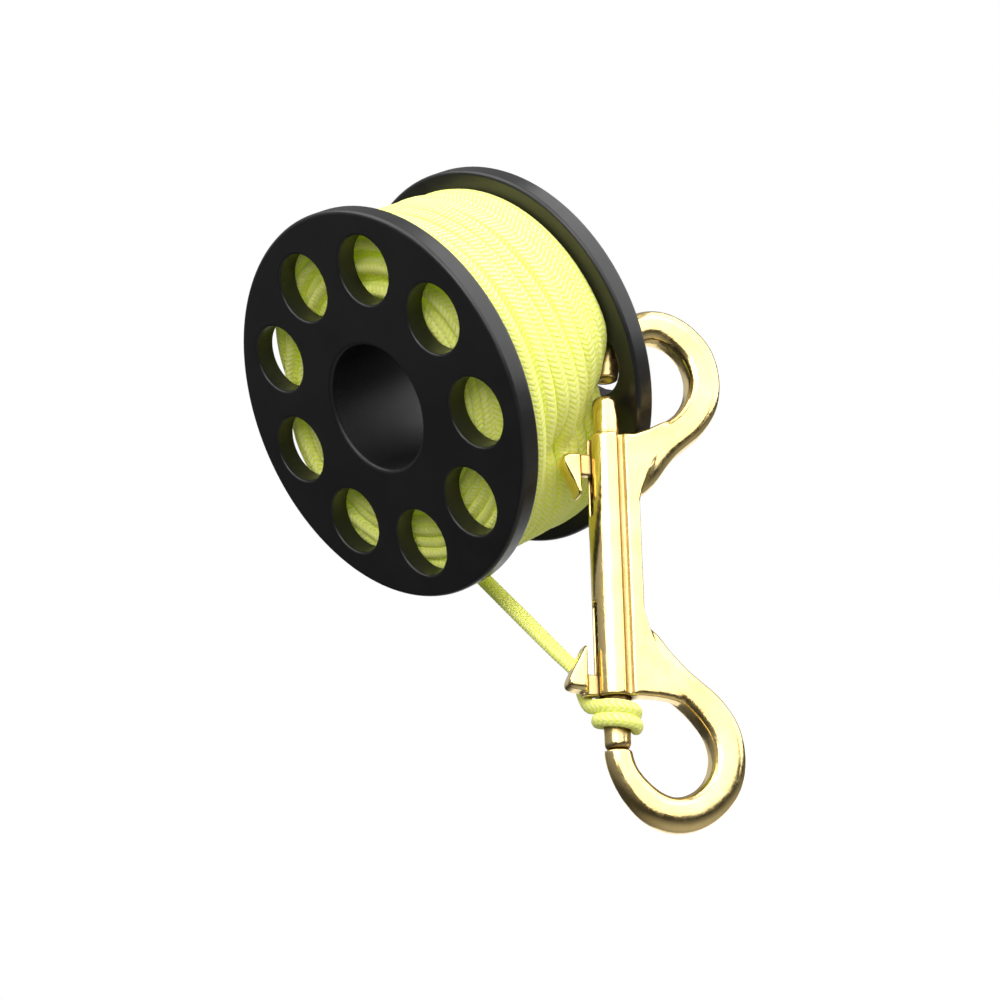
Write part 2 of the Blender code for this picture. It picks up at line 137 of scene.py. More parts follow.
# Tail of the line, from the winding to the lower bolt, in the snap frame. RUN_BENDS is in mm
WRAP_RADIUS = 3.5 * MM
WRAP_START = math.radians(193)
WRAP_TOP = -27.6 * MM
WRAP_PITCH = 2.45 * MM
WRAP_TURNS = 1.5
WRAP_STEPS = 15
TAIL_SPACING = 0.13                 # mm between the tube's rings
TAIL_RELIEF = 0.08 * MM
WRAP_HALF_SIZE = (1.27, 1.08)       # mm: width and thickness where the hitch is pulled tight
FREE_EXTRA = (0.28, 0.2)            # mm: how much larger the free run's are
END_ROUND = 1.2                     # mm over which the tube rounds off at its ends
END_SWELL = 0.10                    # the cut end is melted into a slight bead
RUN_BENDS = ((-5.1, 7.0, -19.4), (-4.8, 5.1, -22.8), (-4.7, 3.7, -25.2), (-4.5, 1.6, -27.0))

# Snap casting, in the snap frame
BARREL_RADIUS = 3.8 * MM
BARREL_TOP = 24.0 * MM
BARREL_BOTTOM = -25.9 * MM
BARREL_BORE = 2.7 * MM
BORE_BOTTOM = 1.6 * MM
BODY_FRONT = -3.6 * MM
WEB_BACK = 2.9 * MM
WEB_ROUND = 0.7 * MM
ROOT_FRONT = BODY_FRONT + 0.02 * MM
ROOT_BACK = 0.5 * MM
ROOT_ROUND = 0.6 * MM
ROOT_TAPER = 0.1                    # the root's front falls back by this much beyond the web
TAPER_START = 5.0 * MM
CUT_PAST = 1.2 * MM                 # bore and slot run out past the barrel's end
SLOT_HALF_WIDTH = 1.3 * MM
SLOT_END = 8.2 * MM
CUP_RADIUS = 2.35 * MM
CUP_CENTRE = 33.95 * MM
GROOVE_CENTRE = Vector((1.7, -3.55, 0.0)) * MM      # the valley between the barrel and the web
GROOVE_RADIUS = 0.8 * MM
GROOVE_REACH = 27.0 * MM
CAST_VOXEL = 0.28 * MM
CAST_SMOOTHING = 8
KNOB_VOXEL = 0.16 * MM
KNOB_SMOOTHING = 22

# The snap's outlines are points (x, z) in mm
WEB_OUTLINE = ((2.1, -20.0), (5.1, -17.0), (5.1, 17.0), (2.1, 20.0))

# The hook's centreline in mm: x, z, half width in its plane, half thickness across it
HOOK_STATIONS = (
    (1.0, 17.0, 6.8, 2.9), (5.2, 19.3, 5.9, 3.0), (8.6, 21.5, 4.5, 3.1), (11.2, 23.2, 3.6, 3.15),
    (13.6, 24.8, 3.2, 3.2), (16.9, 27.6, 3.15, 3.2), (19.5, 31.6, 3.2, 3.2), (20.3, 36.4, 3.2, 3.2),
    (19.2, 41.0, 3.3, 3.2), (16.3, 44.5, 3.3, 3.2), (12.8, 46.4, 3.3, 3.2), (9.4, 46.7, 3.2, 3.2),
    (6.2, 45.5, 3.1, 3.05), (3.4, 43.0, 2.85, 2.8), (1.4, 40.2, 2.6, 2.6), (0.4, 37.7, 2.55, 2.55),
    (0.0, 35.4, 2.55, 2.55),
)
UPPER_ROOT = ((2.1, 24.0), (4.6, 24.0), (7.4, 25.1), (10.2, 26.6), (11.7, 27.3), (12.4, 25.2), (11.0, 22.5),
              (8.9, 19.0), (7.1, 15.9), (5.9, 13.0), (5.1, 9.8), (2.1, 9.8))
LOWER_ROOT = ((2.1, 25.9), (4.0, 25.8), (7.0, 25.9), (9.8, 26.2), (11.8, 26.8), (12.4, 25.0), (11.0, 22.5),
              (8.9, 19.1), (7.1, 16.0), (5.9, 13.0), (5.1, 9.8), (2.1, 9.8))
LOWER_TRIM = ((2, 0.5), (3, 0.5), (4, 0.25))        # station, and how far its inner side is trimmed
UPPER_REACH = 0.95                  # the hooks' reach in x, as a share of the stations'
LOWER_REACH = 1.0

# Springs, bolts and thumb knobs
SPRING_RADIUS = 1.7 * MM
WIRE_RADIUS = 0.3 * MM
SPRING_TURNS = 7
SPRING_STEPS = 24                   # for each turn
BOLT_RADIUS = 2.4 * MM
BOLT_TIP_ROUND = 1.3 * MM
BOLT_CHAMFER = 0.3 * MM
BOLT_LENGTH = 18.2 * MM
LOWER_TIP = 35.4 * MM
UPPER_TIP = LOWER_TIP - 3.6 * MM    # held back by the rear flange
UPPER_STEM = 13.8 * MM
LOWER_STEM = 11.6 * MM
KNOB_OUTLINE = ((5.5, 6.3), (6.0, 6.5), (7.1, 4.2), (8.5, 1.6), (9.2, -0.1), (8.9, -1.1), (7.8, -1.6),
                (5.5, -1.8))
UPPER_KNOB_SHIFT = -0.3
LOWER_KNOB_SHIFT = 0.6
KNOB_HALF_THICKNESS = 2.3 * MM
KNOB_ROUND = 0.8 * MM
STEM_HALF_WIDTH = 0.95 * MM
STEM_OUTLINE = ((6.4, -2.0), (2.9, -2.0), (2.9, 2.0), (6.4, 2.0))

# Materials
BLACK_DARK = (0.0055, 0.0055, 0.0058)
BLACK_LIGHT = (0.0095, 0.0095, 0.0098)
# painted shade for the bore's wall
BORE_PAINTED_SHADE = (0.003, 0.003, 0.003, 1.0)
# The valley and crest tones are painted shade and painted highlight on the stitches.
LINE_VALLEY_PAINTED_SHADE = (0.76, 0.81, 0.03)
LINE_BODY = (0.89, 0.93, 0.12)
LINE_CREST_PAINTED_HIGHLIGHT = (0.97, 0.99, 0.39)
LINE_WARM = (0.97, 0.95, 0.24, 1.0)
LINE_PAINTED_GLOW = (0.55, 0.80, 0.0, 1.0)
BRASS_DEEP = (0.83, 0.60, 0.22)
BRASS_BODY = (0.90, 0.70, 0.31)
BRASS_PALE = (0.93, 0.76, 0.40)
BRASS_TARNISH_AND_SHADE = (0.20, 0.115, 0.035, 1.0)
BRASS_ROUGHNESS = 0.17
HOLLOW_WIDTH = 1.6 * MM             # hollows narrower than this are darkened: tarnish and painted shade
STEEL_DARK = (0.42, 0.42, 0.43)
STEEL_LIGHT = (0.62, 0.62, 0.63)
WHITE = (1.0, 1.0, 1.0, 1.0)
FLOOR_COLOUR = (0.93, 0.93, 0.92, 1.0)

# Camera
CAMERA_TARGET = Vector((2.5, -1.8, -25.6)) * MM
CAMERA_DISTANCE = 435.0 * MM
CAMERA_AZIMUTH = math.radians(49.3)
CAMERA_ELEVATION = math.radians(0.25)
CAMERA_ROLL = math.radians(25.11)
CAMERA_LENS = 81.6                  # mm, on a sensor 36 mm wide

# Studio. The surround's greys run from straight down (0) to straight up (1)
FLOOR_HEIGHT = -0.17
FLOOR_RADIUS = 30.0
SURROUND = ((0.0, 0.50), (0.22, 0.22), (0.36, 0.05), (0.48, 0.06), (0.56, 0.15), (0.78, 0.30), (1.0, 0.55))
LIGHT_TARGET = Vector((0.0, 0.0, -0.025))
LIGHTS = (                          # name, direction, distance, size, brightness
    ("top_box", (0.05, -0.12, 1.0), 0.6, (0.62, 0.5), 1.9),
    ("key_box", (0.90, -0.16, 0.45), 0.6, (0.80, 0.62), 1.55),
    ("rim_box", (0.50, 0.74, 0.30), 0.75, (0.9, 1.0), 1.8),
    ("front_box", (0.50, -0.62, 0.62), 0.7, (0.5, 0.36), 2.5),
    ("left_box", (-0.94, 0.28, 0.2), 0.7, (0.4, 0.6), 0.3),
    ("back_box", (-0.70, 0.60, -0.38), 0.8, (0.8, 0.7), 0.8),
)


# ------------------------ node helpers

class Nodes:
    """A short way to write a node tree. Most methods add a node and return its output."""

    def __init__(self, owner, shader="Principled BSDF"):
        self.owner = owner
        owner.use_nodes = True
        self.tree = owner.node_tree
        self.shader = self.tree.nodes[shader]

    def add(self, kind, **settings):
        node = self.tree.nodes.new(kind)
        for key, value in settings.items():
            setattr(node, key, value)
        return node

    def link(self, source, target):
        self.tree.links.new(source, target)

    def put(self, socket, value):
        if isinstance(value, bpy.types.NodeSocket):
            self.link(value, socket)
        else:
            socket.default_value = value

    def set(self, name, value):
        self.put(self.shader.inputs[name], value)

    def math(self, operation, a, b=0.0, clamp=False):
        node = self.add("ShaderNodeMath", operation=operation, use_clamp=clamp)
        self.put(node.inputs[0], a)
        self.put(node.inputs[1], b)
        return node.outputs[0]

    def ramp(self, value, stops):
        node = self.add("ShaderNodeValToRGB")
        elements = node.color_ramp.elements
        while len(elements) < len(stops):
            elements.new(0.5)
        for element, (position, colour) in zip(elements, stops):
            element.position = position
            element.color = (*colour, 1.0)
        self.link(value, node.inputs["Fac"])
        return node.outputs["Color"]

    def mix(self, factor, a, b):
        node = self.add("ShaderNodeMix", data_type="RGBA")
        self.put(node.inputs[0], factor)
        self.put(node.inputs[6], a)
        self.put(node.inputs[7], b)
        return node.outputs[2]

    def span(self, value, low, high, to_low, to_high):
        node = self.add("ShaderNodeMapRange")
        self.link(value, node.inputs["Value"])
        for key, number in (("From Min", low), ("From Max", high), ("To Min", to_low), ("To Max", to_high)):
            node.inputs[key].default_value = number
        return node.outputs[0]

    def noise(self, scale, detail=3.0, roughness=0.55, stretch=None):
        source = self.add("ShaderNodeTexCoord").outputs["Object"]
        if stretch:
            mapping = self.add("ShaderNodeMapping")
            mapping.inputs["Scale"].default_value = stretch
            self.link(source, mapping.inputs["Vector"])
            source = mapping.outputs[0]
        node = self.add("ShaderNodeTexNoise")
        node.inputs["Scale"].default_value = scale
        node.inputs["Detail"].default_value = detail
        node.inputs["Roughness"].default_value = roughness
        self.link(source, node.inputs["Vector"])
        return node.outputs["Fac"]

    def bump(self, height, distance, strength, before=None):
        node = self.add("ShaderNodeBump")
        node.inputs["Strength"].default_value = strength
        node.inputs["Distance"].default_value = distance
        self.link(height, node.inputs["Height"])
        if before is not None:
            self.link(before, node.inputs["Normal"])
        return node.outputs["Normal"]


# ------------------------ materials

def black_plastic():
    """Satin moulded nylon with a fine spark-eroded grain and faint handling marks; inside the bore it is
    painted darker as painted shade.
    """
    nodes = Nodes(bpy.data.materials.new("black_plastic_moulded"))
    grain = nodes.noise(2600.0, 2.0)
    cloud = nodes.noise(70.0, 4.0)
    scuff = nodes.noise(210.0, 5.0, 0.7, (1.0, 0.25, 1.0))
    black = nodes.ramp(cloud, ((0.3, BLACK_DARK), (0.72, BLACK_LIGHT)))
    parts = nodes.add("ShaderNodeSeparateXYZ")
    nodes.link(nodes.add("ShaderNodeTexCoord").outputs["Object"], parts.inputs[0])
    reach = nodes.math("POWER", nodes.math("ADD", nodes.math("POWER", parts.outputs["X"], 2.0),
                                           nodes.math("POWER", parts.outputs["Z"], 2.0)), 0.5)
    in_bore = nodes.span(reach, BORE_RADIUS + 0.2 * MM, BORE_RADIUS + 0.7 * MM, 1.0, 0.0)
    # Inside the bore the base colour is painted darker: painted shade.
    nodes.set("Base Color", nodes.mix(in_bore, black, BORE_PAINTED_SHADE))
    rough = nodes.span(scuff, 0.35, 0.75, 0.30, 0.42)
    nodes.set("Roughness", nodes.math("ADD", rough, nodes.math("MULTIPLY", in_bore, 0.12)))
    nodes.set("IOR", 1.5)
    coarse = nodes.bump(cloud, 0.00006, 0.5)
    nodes.set("Normal", nodes.bump(grain, 0.000018, 0.55, coarse))
    return nodes.owner


def yellow_braid(name, relief):
    """Braided line. The UV map runs round the line (0 to 1) and along it (in millimetres)."""
    nodes = Nodes(bpy.data.materials.new(name))
    uv = nodes.add("ShaderNodeUVMap", uv_map="line")
    parts = nodes.add("ShaderNodeSeparateXYZ")
    nodes.link(uv.outputs[0], parts.inputs[0])
    round_it, along = parts.outputs[0], parts.outputs[1]
    columns = nodes.math("FRACT", nodes.math("MULTIPLY", round_it, BRAID_COLUMNS))
    across = nodes.math("ABSOLUTE", nodes.math("SUBTRACT", nodes.math("MULTIPLY", columns, 2.0), 1.0))
    wobble = nodes.noise(900.0, 2.0)
    phase = nodes.math("ADD", nodes.math("MULTIPLY", along, 1.0 / BRAID_PITCH),
                       nodes.math("MULTIPLY", across, BRAID_SLANT))
    phase = nodes.math("ADD", phase, nodes.math("MULTIPLY", wobble, 0.45))
    wave = nodes.math("ABSOLUTE", nodes.math("SINE", nodes.math("MULTIPLY", phase, math.pi)))
    leg = nodes.math("POWER", wave, STITCH_SHAPE)
    middle = nodes.span(across, 0.0, VALLEY_EDGE, VALLEY_FLOOR, 1.0)
    seam = nodes.span(across, SEAM_EDGE, 1.0, 1.0, SEAM_FLOOR)
    height = nodes.math("MULTIPLY", nodes.math("MULTIPLY", leg, middle), seam)
    fibres = nodes.noise(3800.0, 2.0)
    patch = nodes.noise(120.0, 3.0)
    # The colour follows the stitches' height: crests painted paler as a painted highlight, valleys painted
    # darker as painted shade.
    tone = nodes.math("ADD", nodes.math("MULTIPLY", height, 0.78), nodes.math("MULTIPLY", fibres, 0.22))
    colour = nodes.ramp(tone, ((0.10, LINE_VALLEY_PAINTED_SHADE), (0.42, LINE_BODY), (0.86, LINE_CREST_PAINTED_HIGHLIGHT)))
    warm = nodes.mix(nodes.span(patch, 0.35, 0.7, 0.0, 0.35), colour, LINE_WARM)
    nodes.set("Base Color", warm)
    nodes.set("Roughness", 0.62)
    # The faint emission is painted light: it lifts the line's shaded side, standing in for its fluorescence.
    nodes.set("Emission Color", LINE_PAINTED_GLOW)
    nodes.set("Emission Strength", 0.07)
    nodes.set("Sheen Weight", 0.1)
    nodes.set("Sheen Roughness", 0.45)
    nodes.set("Subsurface Weight", 0.18)
    nodes.set("Subsurface Radius", (0.9, 1.0, 0.25))
    nodes.set("Subsurface Scale", 0.0009)
    fine = nodes.bump(fibres, 0.00004, 0.5)
    nodes.set("Normal", nodes.bump(height, 0.00015 * relief, 0.7, fine))
    return nodes.owner


def cast_brass():
    """Polished castings: bright skin, fine pitting, and in the hollows dull tarnish with painted shade."""
    nodes = Nodes(bpy.data.materials.new("brass_cast"))
    cloud = nodes.noise(95.0, 5.0, 0.6)
    pits = nodes.noise(950.0, 4.0, 0.65)
    swell = nodes.noise(240.0, 3.0)
    colour = nodes.ramp(cloud, ((0.28, BRASS_DEEP), (0.55, BRASS_BODY), (0.8, BRASS_PALE)))
    # Ambient occlusion darkens the hollows: partly tarnish, partly painted shade.
    hollow = nodes.add("ShaderNodeAmbientOcclusion", samples=6)
    hollow.inputs["Distance"].default_value = HOLLOW_WIDTH
    open_sky = nodes.span(hollow.outputs["AO"], 0.55, 0.97, 0.0, 1.0)
    nodes.set("Base Color", nodes.mix(open_sky, BRASS_TARNISH_AND_SHADE, colour))
    nodes.set("Metallic", 1.0)
    skin = nodes.span(pits, 0.35, 0.7, BRASS_ROUGHNESS - 0.05, BRASS_ROUGHNESS + 0.10)
    nodes.set("Roughness",
              nodes.math("ADD", skin, nodes.span(open_sky, 0.0, 1.0, 0.35, 0.0), clamp=True))
    wide = nodes.bump(swell, 0.00012, 0.6)
    nodes.set("Normal", nodes.bump(pits, 0.00003, 0.6, wide))
    return nodes.owner


def spring_steel():
    """Drawn wire, with faint streaks."""
    nodes = Nodes(bpy.data.materials.new("spring_steel_drawn"))
    streak = nodes.noise(1500.0, 2.0)
    nodes.set("Base Color", nodes.ramp(streak, ((0.3, STEEL_DARK), (0.7, STEEL_LIGHT))))
    nodes.set("Metallic", 1.0)
    nodes.set("Roughness", nodes.span(streak, 0.3, 0.7, 0.22, 0.36))
    return nodes.owner


# ------------------------ mesh helpers

def from_bmesh(name, builder, material, sharp=None):
    """An object from a finished builder, smooth but for edges sharper than so many degrees."""
    mesh = bpy.data.meshes.new(name)
    bmesh.ops.recalc_face_normals(builder, faces=builder.faces)
    builder.to_mesh(mesh)
    builder.free()
    item = bpy.data.objects.new(name, mesh)
    bpy.context.collection.objects.link(item)
    mesh.materials.append(material)
    mesh.shade_smooth()
    if sharp:
        mesh.set_sharp_from_angle(angle=math.radians(sharp))
    return item


def stand_for(item, body, slot, *nodes):
    """The item moves with a body and stands in for some of its CAD nodes."""
    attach(item, body)
    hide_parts(*nodes)


# ------------------------ spool

def quarter(radius, steps):
    """How far a rounded edge stays from its two faces, at the points between its ends."""
    angles = [math.pi / 2 * step / steps for step in range(1, steps)]
    return [(radius * (1 - math.sin(angle)), radius * (1 - math.cos(angle))) for angle in angles]


def sector_face(builder, y, inner, outer, cache):
    """One flat face of a flange between two radii, with its nine holes; returns its border rings."""
    arc = 16
    side_steps = 9
    half = math.pi / HOLE_COUNT
    hole_edge = HOLE_RADIUS + HOLE_ROUND
    holes = []

    def vertex(radius, angle):
        key = (round(radius * 1e7), round((angle % (2 * math.pi)) * 1e6) % 6283185, round(y * 1e7))
        if key not in cache:
            cache[key] = builder.verts.new((radius * math.cos(angle), y, radius * math.sin(angle)))
        return cache[key]

    for index in range(HOLE_COUNT):
        middle = HOLE_PHASE + 2 * math.pi * index / HOLE_COUNT
        border = []
        for step in range(arc):
            border.append((outer, middle - half + 2 * half * step / arc))
        for step in range(side_steps):
            border.append((outer + (inner - outer) * step / side_steps, middle + half))
        for step in range(arc):
            border.append((inner, middle + half - 2 * half * step / arc))
        for step in range(side_steps):
            border.append((inner + (outer - inner) * step / side_steps, middle - half))
        directions = []
        for radius, angle in border:
            x = radius * math.cos(angle - middle) - HOLE_PITCH_RADIUS
            z = radius * math.sin(angle - middle)
            directions.append(math.atan2(z, x) + middle)
        outside = [vertex(radius, angle) for radius, angle in border]
        centre = (HOLE_PITCH_RADIUS * math.cos(middle), HOLE_PITCH_RADIUS * math.sin(middle))
        inside = ring_at(builder, centre, hole_edge, y, directions)
        bridge(builder, outside, inside)
        holes.append((centre, directions, inside))
    around = arc * HOLE_COUNT
    rings = [[vertex(radius, HOLE_PHASE - half + 2 * math.pi * step / around) for step in range(around)]
             for radius in (inner, outer)]
    return *rings, holes


def ring_at(builder, centre, radius, y, directions):
    """A ring round a line along Y, with a point in each direction."""
    return [builder.verts.new((centre[0] + radius * math.cos(d), y, centre[1] + radius * math.sin(d)))
            for d in directions]


def bridge(builder, first, second):
    """Faces between two rings with as many points."""
    total = len(first)
    for step in range(total):
        after = (step + 1) % total
        builder.faces.new((first[step], first[after], second[after], second[step]))


def wall(radius, away, size, steps, side, outer, inner):
    """Profile of (radius, y) across a flange, with a rounded edge at both faces; away is +1 for a hole."""
    rounds = quarter(size, steps)
    return ([(radius + away * a, side * (outer - b)) for a, b in rounds]
            + [(radius, side * (outer - size)), (radius, side * (inner + size))]
            + [(radius + away * a, side * (inner + b)) for a, b in reversed(rounds)])


def lathe_rings(builder, start, profile, end, centre=(0.0, 0.0), angles=None):
    """Rings turned about a line along Y by a profile, joined from the start ring to the end ring."""
    angles = angles or [math.atan2(v.co.z, v.co.x) for v in start]
    for radius, y in profile:
        ring = ring_at(builder, centre, radius, y, angles)
        bridge(builder, start, ring)
        start = ring
    bridge(builder, start, end)


def spool_half(name, side, material):
    """side is -1 for the front half with its spigot, +1 for the rear half."""
    builder = bmesh.new()
    outer = SPOOL_WIDTH / 2
    inner = outer - FLANGE_THICKNESS
    cache = {}
    bore_edge, rim_edge, outer_holes = sector_face(builder, side * outer, BORE_RADIUS + EDGE_ROUND,
                                                   FLANGE_RADIUS - EDGE_ROUND, cache)
    hub_edge, inner_rim, inner_holes = sector_face(builder, side * inner, HUB_RADIUS + HUB_FILLET,
                                                   FLANGE_RADIUS - EDGE_ROUND, cache)
    lathe_rings(builder, rim_edge, wall(FLANGE_RADIUS, -1, EDGE_ROUND, 6, side, outer, inner), inner_rim)
    bore = [(BORE_RADIUS + a, side * (outer - b)) for a, b in quarter(EDGE_ROUND, 6)]
    bore.append((BORE_RADIUS, side * (outer - EDGE_ROUND)))
    if side < 0:
        bore.extend(((BORE_RADIUS, SPIGOT_LENGTH - CHAMFER), (BORE_RADIUS + CHAMFER, SPIGOT_LENGTH),
                     (SPIGOT_RADIUS - CHAMFER, SPIGOT_LENGTH), (SPIGOT_RADIUS, SPIGOT_LENGTH - CHAMFER),
                     (SPIGOT_RADIUS, -GAP / 2)))
    else:
        low = SPIGOT_LENGTH + GAP
        bore.extend(((BORE_RADIUS, low + CHAMFER), (BORE_RADIUS + CHAMFER, low),
                     (SPIGOT_RADIUS + GAP, low), (SPIGOT_RADIUS + GAP, GAP / 2)))
    bore.extend(((HUB_RADIUS - CHAMFER, side * GAP / 2), (HUB_RADIUS, side * (GAP / 2 + CHAMFER)),
                 (HUB_RADIUS, side * (inner - HUB_FILLET))))
    lathe_rings(builder, bore_edge, bore, hub_edge)
    hole = wall(HOLE_RADIUS, 1, HOLE_ROUND, 5, side, outer, inner)
    for (centre, directions, first), (_, _, last) in zip(outer_holes, inner_holes):
        lathe_rings(builder, first, hole, last, centre, directions)
    item = from_bmesh(name, builder, material, 50)
    weighted = item.modifiers.new("flat faces stay flat", "WEIGHTED_NORMAL")
    weighted.mode = "FACE_AREA"
    weighted.weight = 80
    weighted.keep_sharp = True
    return item


# ------------------------ line

def distance_to_segment(points, start, end):
    """How far each point is from the straight stretch between start and end."""
    start = np.array(start)
    along = np.array(end) - start
    t = np.clip(((points - start) @ along) / (along @ along), 0.0, 1.0)
    return np.linalg.norm(points - (start + t[:, None] * along), axis=1)


def snap_capsules():
    """Stretches of the snap that press into the winding, at rest and swung in: (start, end, reach)."""
    pivot = SNAP_PLACE @ Vector((PIVOT_REACH, 0.0, CROSSING_HEIGHT))
    axis = SNAP_PLACE.to_3x3() @ Vector((0.0, 1.0, 0.0))
    found = []
    for share in (0.0, 0.5, 1.0):
        turn = (Matrix.Translation(pivot) @ Matrix.Rotation(SWING * share, 4, axis)
                @ Matrix.Translation(-pivot) @ SNAP_PLACE)
        for start, end, reach in PRESSING_PARTS:
            found.append((turn @ (Vector(start) * MM), turn @ (Vector(end) * MM), reach * MM))
    return found


def run_departure(target):
    """The point where the line leaves the winding as a tangent towards the target."""
    reach = math.hypot(target.x, target.z)
    angle = math.atan2(target.z, target.x) - math.acos(RUN_LAYER_RADIUS / reach)
    return Vector((RUN_LAYER_RADIUS * math.cos(angle), 0.0, RUN_LAYER_RADIUS * math.sin(angle)))


RUN_POINTS = [SNAP_PLACE @ (Vector(point) * MM) for point in RUN_BENDS]
DEPARTURE = run_departure(RUN_POINTS[0])
DEPARTURE_ANGLE = math.atan2(DEPARTURE.z, DEPARTURE.x) % (2 * math.pi)


def ease(share):
    """From 0 to 1 with a soft start and a soft end."""
    return share * share * (3 - 2 * share)


def shoulder(angle, y):
    """How far the outermost turns' middles sink towards the flanges, less where they pile up in front."""
    away = (np.degrees(angle) - BULGE_MIDDLE + 180.0) % 360 - 180
    piled = np.clip((-y - BULGE_START) / (TRAVERSE - BULGE_START), 0, 1)
    rear = np.clip((y - REAR_SINK_START) / (TRAVERSE - REAR_SINK_START), 0, 1) ** 2
    front = np.clip((-y - FRONT_SINK_START) / (TRAVERSE - FRONT_SINK_START), 0, 1) ** 2
    return REAR_SINK * rear + FRONT_SINK * front - BULGE * np.exp(-(away / BULGE_SPREAD) ** 2) * piled


def turn_noise(count):
    """A slow, fixed drift of phase along the line."""
    steps = np.arange(count) / TURN_STEPS
    return 1.9 * np.sin(steps * 0.61) + 1.1 * np.sin(steps * 1.73 + 0.4)


def layered_turns():
    """Angle, y and layer (0 for the innermost) of each step, to and fro between the flanges."""
    turns = LAYERS * LAYER_TURNS
    turn = np.arange(int(turns * TURN_STEPS) + 1) / TURN_STEPS
    angle = CROSSOVER_START - 2 * math.pi * (turns - turn)
    layer = np.minimum(turn / LAYER_TURNS, LAYERS - 1e-6)
    whole = np.floor(layer)
    within = layer - whole
    climb = np.clip((within - CLIMB_START) / (1 - CLIMB_START), 0, 1)
    level = np.minimum(whole + ease(climb), LAYERS - 1)
    sweep = np.clip((within * LAYER_TURNS - DWELL) / (LAYER_TURNS - 2 * DWELL), 0, 1)
    y = TRAVERSE * (2 * np.where(whole % 2 == 0, sweep, 1 - sweep) - 1)
    wander = (0.378 * np.sin(angle + whole * 1.7 + turn * 0.83) + 0.27 * np.sin(angle * 2.37 + turn * 2.1)
              + 0.144 * np.sin(angle * 5.2 + turn))
    y += wander * MM * np.clip((TRAVERSE - np.abs(y)) / WANDER_EDGE, 0, 1)
    return angle, y, level


def pressed_in(radial, y, ceiling, crossover, own):
    """How deep each step sinks so that it clears the snap and the crossover, whose own last steps stay."""
    depth = np.zeros_like(ceiling)
    obstacles = [(item, False) for item in snap_capsules()] + [(item, True) for item in crossover]
    for (start, end, reach), crossing in obstacles:
        for _ in range(PRESS_ROUNDS):
            points = radial * (ceiling - depth)[:, None]
            points[:, 1] = y
            close = distance_to_segment(points, start, end) < reach
            if crossing:
                close[-own:] = False
            close &= depth < PRESS_LIMIT
            if not close.any():
                break
            depth[close] += PRESS_STEP
    peak = np.maximum(depth, np.maximum(np.roll(depth, 1), np.roll(depth, -1)))
    kernel = np.hanning(2 * PRESS_BLUR + 3)[1:-1]
    return np.maximum(np.convolve(peak, kernel / kernel.sum(), mode="same"), depth)


def winding_path():
    """The line's middle, layer on layer from the hub out, ending as a tangent where the tail leaves."""
    angle, y, level = layered_turns()
    cross = int((DEPARTURE_ANGLE - CROSSOVER_START) / (2 * math.pi) * TURN_STEPS)
    share = np.arange(1, cross + 1) / cross
    cross_angle = CROSSOVER_START + (DEPARTURE_ANGLE - CROSSOVER_START) * share
    cross_y = y[-1] * (1 - ease(share))
    angle = np.concatenate([angle, cross_angle])
    y = np.concatenate([y, cross_y])
    level = np.concatenate([level, np.full(cross, LAYERS - 1.0)])

    middle = np.stack([RUN_LAYER_RADIUS * np.cos(cross_angle), cross_y,
                       RUN_LAYER_RADIUS * np.sin(cross_angle)], axis=1)
    crossover = [(middle[step - 2], middle[step], CROSSOVER_REACH * min(1.0, share[step] * CROSSOVER_EASE))
                 for step in range(2, cross, 2)]
    toward = (RUN_POINTS[0] - DEPARTURE).normalized()
    crossover.append((DEPARTURE, DEPARTURE + toward * LEAVING_LENGTH, LEAVING_REACH))

    radial = np.stack([np.cos(angle), np.zeros_like(angle), np.sin(angle)], axis=1)
    ceiling = RUN_LAYER_RADIUS - shoulder(angle, y)
    depth = pressed_in(radial, y, ceiling, crossover, cross + int(TURN_STEPS * 0.3))
    height = level / (LAYERS - 1)
    ripple = RIPPLE * np.sin(angle * 3.1 + turn_noise(len(angle))) * (depth < 0.2 * MM)
    radius = FIRST_LAYER_RADIUS + (ceiling - depth - FIRST_LAYER_RADIUS + ripple) * height
    radius[-cross:] = RUN_LAYER_RADIUS
    join = slice(-cross - JOIN_STEPS, -cross)
    fade = np.linspace(0, 1, JOIN_STEPS)
    radius[join] = radius[join] * (1 - fade) + RUN_LAYER_RADIUS * fade
    points = radial * radius[:, None]
    points[:, 1] = y
    return points


def step_lengths(points):
    """How far it is from each point to the next."""
    return np.linalg.norm(np.diff(points, axis=0), axis=1)


def distances(points):
    """How far along the path each point is."""
    return np.concatenate([[0.0], np.cumsum(step_lengths(points))])


def braid_lift(column, along, height):
    """How far the braid's stitches stand out; column runs from 0 to 1 across one column of them."""
    off = np.abs(column * 2 - 1)
    stitch = np.abs(np.sin(math.pi * (along / BRAID_PITCH + off * BRAID_SLANT))) ** STITCH_SHAPE
    valley = np.clip(VALLEY_FLOOR + off / VALLEY_EDGE * (1 - VALLEY_FLOOR), VALLEY_FLOOR, 1.0)
    seam = np.clip(1 - (off - SEAM_EDGE) / (1 - SEAM_EDGE) * (1 - SEAM_FLOOR), SEAM_FLOOR, 1)
    return height * (stitch * valley * seam - VALLEY_FLOOR)


